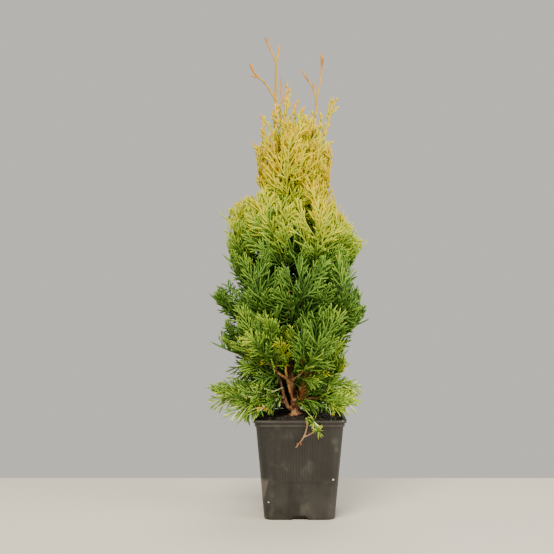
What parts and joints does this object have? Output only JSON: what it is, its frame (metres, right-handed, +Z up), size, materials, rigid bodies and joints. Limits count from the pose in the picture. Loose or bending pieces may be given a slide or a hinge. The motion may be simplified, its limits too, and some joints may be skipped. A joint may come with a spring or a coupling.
{
  "type": "potted thuja",
  "caption": "Young golden conifer shrub with upright stems and flat toothed sprays, growing in soil in a square tapered nursery pot.",
  "frame": {"origin": "middle of the pot's flat underside", "axes": "+Z up along the stems, -Y towards the viewer of the picture, +X to the viewer's right"},
  "size_m": [0.1646, 0.1232, 0.4772],
  "materials": {
    "pot_plastic": "satin, thin-walled, moulded",
    "potting_soil": "rough, dark peat mix",
    "bark": "fibrous young bark",
    "foliage_green": "waxy scale leaves",
    "foliage_lime": "waxy scale leaves",
    "foliage_gold": "waxy scale leaves",
    "bare_shoot": "scale leaves on a thin shoot"
  },
  "bodies": {
    "root": {"back_stem": "bark", "bough_back_left_low": "bark", "bough_back_right_low": "bark", "bough_front_left_second": "bark", "bough_front_right_second": "bark", "bough_left_front_low": "bark", "bough_left_low": "bark", "bough_left_middle": "bark", "bough_left_second": "bark", "bough_right_front_low": "bark", "bough_right_low": "bark", "bough_right_middle": "bark", "bough_right_second": "bark", "bough_right_shoulder": "bark", "foliage_back_left_low": "foliage_green", "foliage_back_left_middle": "foliage_green", "foliage_back_left_second": "foliage_green", "foliage_back_left_shoulder": "foliage_lime", "foliage_back_right_low": "foliage_green", "foliage_back_right_middle": "foliage_green", "foliage_back_right_second": "foliage_green", "foliage_back_right_shoulder": "foliage_lime", "foliage_back_upper": "foliage_gold", "foliage_front_left_middle": "foliage_green", "foliage_front_left_second": "foliage_green", "foliage_front_left_shoulder": "foliage_lime", "foliage_front_middle": "foliage_green", "foliage_front_right_second": "foliage_green", "foliage_front_right_shoulder": "foliage_lime", "foliage_front_upper": "foliage_gold", "foliage_heart": "foliage_gold", "foliage_left_crest": "foliage_gold", "foliage_left_flank": "foliage_lime", "foliage_left_front_low": "foliage_green", "foliage_left_low": "foliage_green", "foliage_left_middle": "foliage_green", "foliage_left_second": "foliage_green", "foliage_left_shoulder": "foliage_lime", "foliage_left_upper": "foliage_gold", "foliage_middle_crest": "foliage_gold", "foliage_right_crest": "foliage_gold", "foliage_right_flank": "foliage_lime", "foliage_right_front_low": "foliage_green", "foliage_right_front_middle": "foliage_green", "foliage_right_heart": "foliage_gold", "foliage_right_low": "foliage_green", "foliage_right_middle": "foliage_green", "foliage_right_second": "foliage_green", "foliage_right_shoulder": "foliage_lime", "foliage_right_upper": "foliage_gold", "front_stem": "bark", "left_leader_tip": "bare_shoot", "left_stem": "bark", "low_sprig": "foliage_green", "pot": "pot_plastic", "right_leader": "bark", "right_leader_tip": "bare_shoot", "soil": "potting_soil", "trunk": "bark"}
  },
  "joints": []
}
